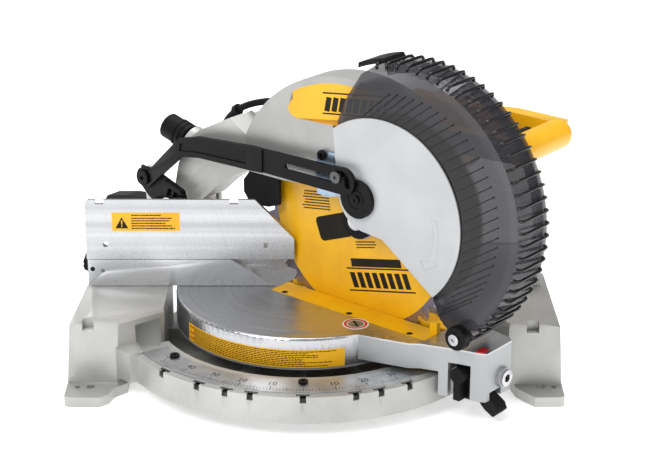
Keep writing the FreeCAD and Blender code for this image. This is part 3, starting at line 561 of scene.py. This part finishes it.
def copierTree():
    tree = bpy.data.node_groups.new("copies_in_line_or_ring", "GeometryNodeTree")
    face = tree.interface
    face.new_socket("Geometry", in_out="INPUT", socket_type="NodeSocketGeometry")
    for label, kind in (("Count", "NodeSocketInt"), ("First Angle", "NodeSocketFloat"),
                        ("Angle Step", "NodeSocketFloat"), ("Move Step", "NodeSocketVector"),
                        ("Finish", "NodeSocketMaterial")):
        face.new_socket(label, in_out="INPUT", socket_type=kind)
    face.new_socket("Geometry", in_out="OUTPUT", socket_type="NodeSocketGeometry")
    make = tree.nodes.new
    link = tree.links.new
    given, result = make("NodeGroupInput"), make("NodeGroupOutput")
    points, index = make("GeometryNodePoints"), make("GeometryNodeInputIndex")
    link(given.outputs["Count"], points.inputs["Count"])
    turn = make("ShaderNodeMath")
    turn.operation = "MULTIPLY_ADD"
    link(index.outputs[0], turn.inputs[0])
    link(given.outputs["Angle Step"], turn.inputs[1])
    link(given.outputs["First Angle"], turn.inputs[2])
    angles = make("ShaderNodeCombineXYZ")
    link(turn.outputs[0], angles.inputs["Z"])
    move = make("ShaderNodeVectorMath")
    move.operation = "SCALE"
    link(given.outputs["Move Step"], move.inputs[0])
    link(index.outputs[0], move.inputs["Scale"])
    link(move.outputs[0], points.inputs["Position"])
    spread = make("GeometryNodeInstanceOnPoints")
    link(points.outputs[0], spread.inputs["Points"])
    link(given.outputs["Geometry"], spread.inputs["Instance"])
    link(angles.outputs[0], spread.inputs["Rotation"])
    real, coat = make("GeometryNodeRealizeInstances"), make("GeometryNodeSetMaterial")
    link(spread.outputs[0], real.inputs[0])
    link(real.outputs[0], coat.inputs["Geometry"])
    link(given.outputs["Finish"], coat.inputs["Material"])
    link(coat.outputs[0], result.inputs[0])
    return tree


copier = copierTree()


def copies(piece, finish, count, first=0.0, step=0.0, move=(0, 0, 0), place=Matrix()):
    # one shape made into many, about or along its own axes, then put in place
    sockets = {item.name: item.identifier for item in copier.interface.items_tree if item.in_out == "INPUT"}
    nodes = piece.modifiers.new("copies", "NODES")
    nodes.node_group = copier
    nodes[sockets["Count"]] = count
    nodes[sockets["First Angle"]] = math.radians(first)
    nodes[sockets["Angle Step"]] = math.radians(step)
    nodes[sockets["Move Step"]] = [m / 1000 for m in move]
    nodes[sockets["Finish"]] = finishes[finish].material
    baked(piece)
    piece.data.transform(place)
    return piece


def rodMesh(name, points, r, sides=8):                # bent rod through points in millimetres, ends closed
    bm = bmesh.new()
    spots = [Vector(p) / 1000 for p in points]
    rings = []
    for i, spot in enumerate(spots):
        ahead = (spots[min(i + 1, len(spots) - 1)] - spots[max(i - 1, 0)]).normalized()
        across = ahead.cross(Vector((0, 1, 0)))
        if across.length < 1e-4:
            across = ahead.cross(Vector((1, 0, 0)))
        across.normalize()
        up = across.cross(ahead)
        rings.append([bm.verts.new(spot + (across * math.cos(t) + up * math.sin(t)) * r / 1000)
                      for t in [2 * math.pi * j / sides for j in range(sides)]])
    for one, two in zip(rings, rings[1:]):
        for j in range(sides):
            bm.faces.new((one[j], one[(j + 1) % sides], two[(j + 1) % sides], two[j]))
    bm.faces.new(rings[0])
    bm.faces.new(rings[-1])
    bmesh.ops.recalc_face_normals(bm, faces=bm.faces)
    mesh = bpy.data.meshes.new(name)
    bm.to_mesh(mesh)
    bm.free()
    smoothed(mesh, 50)
    return linked(name, mesh)


dressed(powerCord, "cord", "base", "black_rubber", "power_cord", "cord_coil")
tuple(basePoint(*supply["route"][0]))
dressed(motorLead, "cord", "head", "black_rubber", "motor_lead")
tuple(headPoint(*lead["route"][0]))
print("cords dressed")


softEdges = {                                         # node: (finish, rounding in mm)
    "base_casting": ("cast", 1.3), "fence_casting": ("milledLow", 0.5), "sliding_fence": ("milled", 0.5),
    "turntable_casting": ("table", 0.7), "trunnion_casting": ("armCast", 1.0), "head_arm": ("armCast", 1.6),
    "upper_guard": ("guardCast", 1.2), "gear_housing": ("cast", 1.5), "motor_housing": ("yellow", 1.5),
    "motor_end_cap": ("blackPlastic", 0.8), "kerf_plate_left": ("kerf", 0.4),
    "kerf_plate_right": ("kerf", 0.4),
    "link_arm": ("blackSteel", 0.6), "link_bracket": ("blackPlastic", 0.5), "guard_bracket": ("zinc", 0.3),
    "guard_disc": ("disc", 0.4), "guard_crank": ("blackPlastic", 0.9), "guard_tip": ("blackPlastic", 0.9),
    "guard_roller": ("blackPlastic", 1.6), "dust_spout": ("rubber", 0.7), "dust_chute": ("rubber", 1.2),
    "fence_knob": ("blackPlastic", 0.8), "detent_latch": ("blackPlastic", 0.8),
    "miter_lever": ("blackPlastic", 1.0),
    "bevel_lever": ("blackPlastic", 1.5), "trigger": ("blackPlastic", 1.2),
    "lead_boot": ("blackPlastic", 0.6),
    "lead_clip": ("blackPlastic", 0.4), "lock_bushing": ("bright", 0.4),
    "miter_scale": ("scale", 0.15), "guard_shell": ("smoked", 0.3),
}
for node, (finish, width) in softEdges.items():
    softened(node, finish, width)
print("softened solids:", len(softEdges))

keptSolids = {
    "plug": "rubber", "strain_relief": "rubber", "lead_gland": "rubber", "scale_screws": "blackSteel",
    "fence_screws": "blackSteel", "pivot_bolt": "bright", "kerf_screws": "blackSteel",
    "lock_screw": "blackSteel",
    "miter_pointer": "red", "lever_pin": "bright", "bevel_shaft": "bright", "head_pivot_shaft": "bright",
    "link_screw": "blackSteel", "bracket_screw": "blackSteel", "brush_caps": "blackPlastic",
    "arbor_bearing": "bright", "blade": "blade", "arbor_shaft": "bright", "outer_flange": "blackSteel",
    "inner_flange": "blackSteel", "arbor_bolt": "bright", "link_pin": "darkSteel", "cap_screw": "blackSteel",
    "roller_pin": "bright",
}
for node, finish in keptSolids.items():
    painted(node, finish)


handle = {"rounding": 4.0, "segments": 4}
softened("handle", "yellow", handle["rounding"], handle["segments"])


guard = {
    "ribs": 33, "ribFrom": -56.5, "ribTo": 103.5, "ribRadius": 1.65,
    "bars": 29, "barFrom": -41.0, "barTo": 99.0, "barEnd": 118.0, "barWidth": 0.6, "barStart": 76.5,
}
ribShape = [(143.5, 0, -23.6), (146.3, 0, -23.3), (148.6, 0, -21.2), (149, 0, -16), (149, 0, 0), (149, 0, 13),
            (148.4, 0, 18.2), (146.4, 0, 20.0), (143.6, 0, 20.0)]
rib = rodMesh("guard_ribs", ribShape, guard["ribRadius"], 8)
guardPlace = headFrame @ Matrix.Translation((rimCentre[0] / 1000, 0, rimCentre[1] / 1000)) @ \
    Matrix(((1, 0, 0, 0), (0, 0, 1, 0), (0, 1, 0, 0), (0, 0, 0, 1)))
copies(rib, "rib", guard["ribs"], guard["ribFrom"], (guard["ribTo"] - guard["ribFrom"]) / (guard["ribs"] - 1),
       place=guardPlace)
rib.data.flip_normals()                               # the placing turns the shape inside out
dressed(rib, "rib", "guard", "black_plastic")


def guardBars():                                      # raised bars, all leaning the same way, a knob at the outer end of each
    shapes = []
    for i in range(guard["bars"]):
        a = guard["barFrom"] + (guard["barTo"] - guard["barFrom"]) * i / (guard["bars"] - 1)
        ex = rimCentre[0] + guard["barEnd"] * math.cos(math.radians(a))
        ez = rimCentre[1] + guard["barEnd"] * math.sin(math.radians(a))
        lean = math.radians(33 + 8 * max(0, (a - 50) / 45))
        long = 50 + 30 * max(0, (a - 40) / 55)
        while long > 8 and math.hypot(ex - long * math.cos(lean) - rimCentre[0],
                                      ez - long * math.sin(lean) - rimCentre[1]) < guard["barStart"]:
            long -= 0.5
        w = guard["barWidth"]
        dx, dz, nx, nz = math.cos(lean), math.sin(lean), -math.sin(lean), math.cos(lean)
        shapes.append([(ex - long * dx + w * nx, ez - long * dz + w * nz),
                       (ex - long * dx - w * nx, ez - long * dz - w * nz),
                       (ex - w * nx, ez - w * nz), (ex + w * nx, ez + w * nz)])
        shapes.append(arc(ex, ez, 1.1, 0, 330, 11))
    return shapes


dressed(plates("guard_bars", guardBars(), onHead(22.85), 0, 0.35), "slit", "guard", "black_plastic")


def arrowOutline():
    # curved arrow pointing down, its outline raised on the guard's disc
    return [(187.5, 210), (193.5, 210), (196.5, 200), (197.5, 188), (196, 176), (192.5, 166), (196, 163.5),
            (181, 153), (175.5, 163), (184, 164.5), (188.5, 176), (190.5, 188), (190, 200)]


def outlineRods(name, outline, k, r):
    bm = bmesh.new()
    n = len(outline)
    for i in range(n):
        a, b = Vector(headPoint(outline[i][0], k, outline[i][1])), \
            Vector(headPoint(outline[(i + 1) % n][0], k, outline[(i + 1) % n][1]))
        along = (b - a)
        length = along.length
        turn = along.to_track_quat("Z", "Y").to_matrix().to_4x4()
        bmesh.ops.create_cone(bm, cap_ends=True, segments=8, radius1=r / 1000, radius2=r / 1000,
                              depth=length + r / 1000, matrix=Matrix.Translation((a + b) / 2) @ turn)
    mesh = bpy.data.meshes.new(name)
    bm.to_mesh(mesh)
    bm.free()
    smoothed(mesh, 50)
    return linked(name, mesh)


dressed(outlineRods("disc_arrow", arrowOutline(), 25.0, 0.3), "disc", "guard", "grey_paint")
print("guard dressed")


decalEdge = arc(75, 175, 150.5, 120, 60, 30) + arc(75, 175, 112, 60, 100, 14) + [(22, 280), (6, 277.5),
        (-3, 280),
                                                                                (-6.5, 286), (-5, 291), (1,
                                                                                        299)]
dressed(plates("upper_guard_decal", [decalEdge], onHead(18.0), 0, 0.12), "labelYellow", "head",
        "yellow_plastic")


def slanted(u0, u1, v0, v1, lean):
    return [(u0, v0), (u1, v0), (u1 + lean, v1), (u0 + lean, v1)]


hatch = [slanted(43 + 9.4 * i, 50 + 9.4 * i, 293.0 + 1.35 * i, 308.5 + 1.35 * i, 3) for i in range(9)]
hatch += [[(41, 289), (126, 301), (126, 302.6), (41, 290.6)],
          [(41, 311), (126, 323), (126, 324.6), (41, 312.6)]]
dressed(plates("upper_guard_hatch", hatch, onHead(18.12), 0, 0.06), "ink", "head", "black_steel")


def turnedShape(shape, centre, degrees):
    c, s = math.cos(math.radians(degrees)), math.sin(math.radians(degrees))
    return [(centre[0] + c * u - s * v, centre[1] + s * u + c * v) for u, v in shape]


def roundedRect(w, h, r):
    pts = []
    for cx, cy, a in ((w - r, h - r, 0), (-w + r, h - r, 90), (-w + r, -h + r, 180), (w - r, -h + r, 270)):
        pts += arc(cx, cy, r, a, a + 90, 5)
    return pts


bladeMarks = [turnedShape(roundedRect(23, 13.5, 5), (42, 160), 21)]
bladeMarks += [turnedShape(roundedRect(34, 4.6, 0.5), (99, 133), 13)]
for i in range(8):
    bladeMarks.append(turnedShape(slanted(-3.4, 3.4, -8.5, 8.5, -3), (72 + 9.9 * i, 107 + 2.3 * i), 13))
for lift in (-12, 12):
    bladeMarks.append(turnedShape(roundedRect(45, 0.8, 0.2), (106 - lift * 0.2, 115.5 + lift), 13))
dressed(plates("blade_print", bladeMarks, onHead(0.9), 0, 0.08), "ink", "spindle", "black_steel")


def onBlade(centre, degrees):
    c, s = math.cos(math.radians(degrees)), math.sin(math.radians(degrees))
    return lambda u, v, h: headPoint(centre[0] + c * u - s * v, 0.9 + h, centre[1] + s * u + c * v)


bladeText = boxes("blade_small_print", printedLines(-20, 20, -11, 11, 7, 3, 0.5, 0.6),
                  onBlade((16, 184), 189),
                  0, 0.07, 50)
dressed(bladeText, "ink", "spindle", "black_steel")
bladeText = boxes("blade_small_print_b", printedLines(-16, 16, -4.5, 4.5, 3, 5, 0.5, 0.6),
                  onBlade((88, 151), 14),
                  0, 0.07, 50)
dressed(bladeText, "ink", "spindle", "black_steel")

# carbide tips, one on each tooth
tips = {"inner": 121.5, "outer": 126.8, "half": 0.9, "side": 1.25, "count": 40, "first": 1.0}
tip = boxes("blade_tips", [(tips["inner"], tips["outer"], -tips["half"], tips["half"])],
            lambda u, v, h: Vector((u, h, v)) / 1000, -tips["side"], tips["side"], 60)
arborPlace = headFrame @ Matrix.Translation((arbor[0] / 1000, 0,
                                             arbor[1] / 1000)) @ Matrix.Rotation(math.radians(90), 4, "X")
tip.data.transform(Matrix.Rotation(math.radians(-90), 4, "X"))
copies(tip, "bright", tips["count"], tips["first"], 360 / tips["count"], place=arborPlace)
dressed(tip, "bright", "spindle", "bright_steel")
print("blade dressed")


fence = {"x0": -207, "x1": -134, "z0": 144.5, "z1": 165.5}
dressed(boxes("fence_label", [(fence["x0"], fence["x1"], fence["z0"], fence["z1"])], onFront(0), 0, 0.15,
              100),
        "labelYellow", "sliding_fence", "yellow_plastic")
fenceInk = printedLines(-186, -137, 146, 160.5, 5, 11, 0.6, 0.8) + printedLines(-186, -150, 161, 164, 1, 12,
        0.6, 0.9)
dressed(boxes("fence_label_lines", fenceInk, onFront(-0.15), 0, 0.06, 50), "ink", "sliding_fence",
        "black_steel")
triangle = [[(-203.5, 147.5), (-189.5, 147.5), (-196.5, 160)]]
dressed(plates("fence_label_triangle", triangle, onFront(-0.15), 0, 0.06), "ink", "sliding_fence",
        "black_steel")
mark = [[(-197.1, 151.6), (-195.9, 151.6), (-195.7, 156.6), (-197.3, 156.6)],
        arc(-196.5, 149.9, 0.8, 0, 330, 11)]
dressed(plates("fence_label_mark", mark, onFront(-0.21), 0, 0.05), "labelYellow", "sliding_fence",
        "yellow_plastic")


drum = {"from": -150.6, "to": -72.3, "low": 47.5, "high": 67.5, "r": 139.5}
dressed(boxes("drum_label", [(drum["from"], drum["to"], drum["low"], drum["high"])], onDrum(drum["r"]),
              -0.02, 0.16, 2.5),
        "labelYellow", "turntable", "yellow_plastic")
degree = 360 / (2 * math.pi * drum["r"])
lines = printedLines(drum["from"] / degree + 11, drum["to"] / degree - 2, 48.5, 66.5, 9, 21, 0.8, 1.0)
lines = [(a * degree, b * degree, c, d) for a, b, c, d in lines]
dressed(boxes("drum_label_lines", lines, onDrum(drum["r"]), 0.1, 0.22, 3), "ink", "turntable", "black_steel")
red = [(drum["from"] + 1.0, drum["from"] + 4.6, v, v + 1.7) for v in (63.6, 57.2, 51.2)]
dressed(boxes("drum_label_headings", red, onDrum(drum["r"]), 0.1, 0.23, 3), "inkRed", "turntable",
        "red_plastic")


scale = {"z": 47.7, "font": 10.0, "reach": 50}


def tick(length, width):
    return boxes("tick", [(-width / 2, width / 2, 193.4 - length, 193.4)], lambda u, v,
                 h: Vector((v, u, h)) / 1000, 0, 0.07, 60)


scalePlace = tableFrame @ Matrix.Translation((0, 0, scale["z"] / 1000))
for length, width, step in ((4.4, 0.42, 1), (6.2, 0.6, 5), (7.6, 0.8, 10)):
    row = copies(tick(length, width), "ink", 2 * scale["reach"] // step + 1, -90 - scale["reach"], step,
                 place=scalePlace)
    row.name = "scale_ticks_%d" % step
    dressed(row, "ink", "base", "black_steel")


def numeral(text, size):
    curve = bpy.data.curves.new("numeral", "FONT")
    curve.body = text
    curve.size = size / 1000
    curve.extrude = 0.00004
    curve.align_x = "CENTER"
    curve.align_y = "CENTER"
    made = bpy.data.objects.new("numeral", curve)
    bpy.context.scene.collection.objects.link(made)
    bpy.context.view_layer.update()
    mesh = bpy.data.meshes.new_from_object(made.evaluated_get(bpy.context.evaluated_depsgraph_get()))
    bpy.data.objects.remove(made)
    return mesh


bm = bmesh.new()
for value in range(-scale["reach"], scale["reach"] + 1, 10):
    mesh = numeral(str(abs(value)), scale["font"])
    place = scalePlace @ Matrix.Rotation(math.radians(value), 4,
                                         "Z") @ Matrix.Translation((0, -0.1795, 0.00005))
    mesh.transform(place)
    bm.from_mesh(mesh)
mesh = bpy.data.meshes.new("scale_numerals")
bm.to_mesh(mesh)
bm.free()
dressed(linked("scale_numerals", mesh), "ink", "base", "black_steel")

detents = [-45, -31.6, -22.5, -15, 0, 15, 22.5, 31.6, 45]
# dark boxes sitting in each detent notch: painted shade standing in for the shadow deep inside the notches
notchShadePieces = []
for value in detents:
    at = value - 90
    notchShadePieces += [(at - 1.85, at + 1.85, 198.3, 202.3), (at - 0.8, at + 0.8, 198.3, 205.6)]
dressed(boxes("detent_notch_painted_shade", notchShadePieces, onRing(44.2), 0, 0.35, 60), "blackSteel", "base", "black_steel")


badge = {"s": 106.5, "k": 43.0}
spotOn = onTop(80.0)
for label, r0, r1, finish, slotName, low, high in (
        ("badge_plate", 0, 14.0, "white", "grey_paint", 0, 0.2),
        ("badge_ring", 9.6, 12.4, "inkRed", "red_plastic", 0.2, 0.28),
        ("badge_core", 0, 8.6, "zinc", "zinc_steel", 0.2, 0.26)):
    ringShape = []
    if r0:
        for i in range(36):
            a, b = 10 * i, 10 * i + 10
            ringShape.append(arc(badge["s"], badge["k"], r1, a, b, 1) + arc(badge["s"], badge["k"], r0, b, a,
                    1))
    else:
        ringShape.append(arc(badge["s"], badge["k"], r1, 0, 352, 44))
    dressed(plates(label, ringShape, spotOn, low, high), finish, "turntable", slotName)
slash = [turnedShape([(-8, -1.3), (8, -1.3), (8, 1.3), (-8, 1.3)], (badge["s"], badge["k"]), 35)]
dressed(plates("badge_bar", slash, spotOn, 0.26, 0.34), "ink", "turntable", "black_steel")
print("labels and scale placed")


floorMesh = bpy.data.meshes.new("floor")
floorMesh.from_pydata([(-6, -3, 0), (6, -3, 0), (6, 9, 0), (-6, 9, 0)], [], [(0, 1, 2, 3)])
floorPiece = linked("floor", floorMesh)
paper = Finish("floor_paper", {"Roughness": 0.9, "Specular IOR Level": 0.1, "Emission Color": (1, 1, 1, 1),
                               "Emission Strength": 0.5})
paper.set("Base Color", paper.mix(paper.noise(paper.here(), 3, 2, 0.5), (0.9, 0.9, 0.9, 1),
                                  (0.94, 0.94, 0.94, 1)))
floorMesh.materials.append(paper.material)
sky = bpy.data.worlds.new("studio")
bpy.context.scene.world = sky
sky.use_nodes = True
sky.node_tree.nodes["Background"].inputs[0].default_value = (1, 1, 1, 1)
sky.node_tree.nodes["Background"].inputs[1].default_value = 0.34
for label, spot, aim, size, power in (
        ("key", (-0.9, -1.3, 1.7), (0, 0, 0.15), 0.9, 24), ("fill", (1.5, -1.0, 1.0), (0, 0, 0.15), 1.0, 9),
        ("top", (0.1, 0.6, 2.0), (0, 0, 0.1), 1.2, 24), ("rear", (-1.2, 1.3, 0.9), (0, 0, 0.2), 0.8, 7)):
    lamp = bpy.data.lights.new(label, "AREA")
    lamp.size = size
    lamp.energy = power
    holder = bpy.data.objects.new(label, lamp)
    bpy.context.scene.collection.objects.link(holder)
    holder.location = spot
    holder.rotation_euler = (Vector(aim) - Vector(spot)).to_track_quat("-Z", "Y").to_euler()
bpy.context.scene.view_settings.view_transform = "Standard"
print("studio lit")
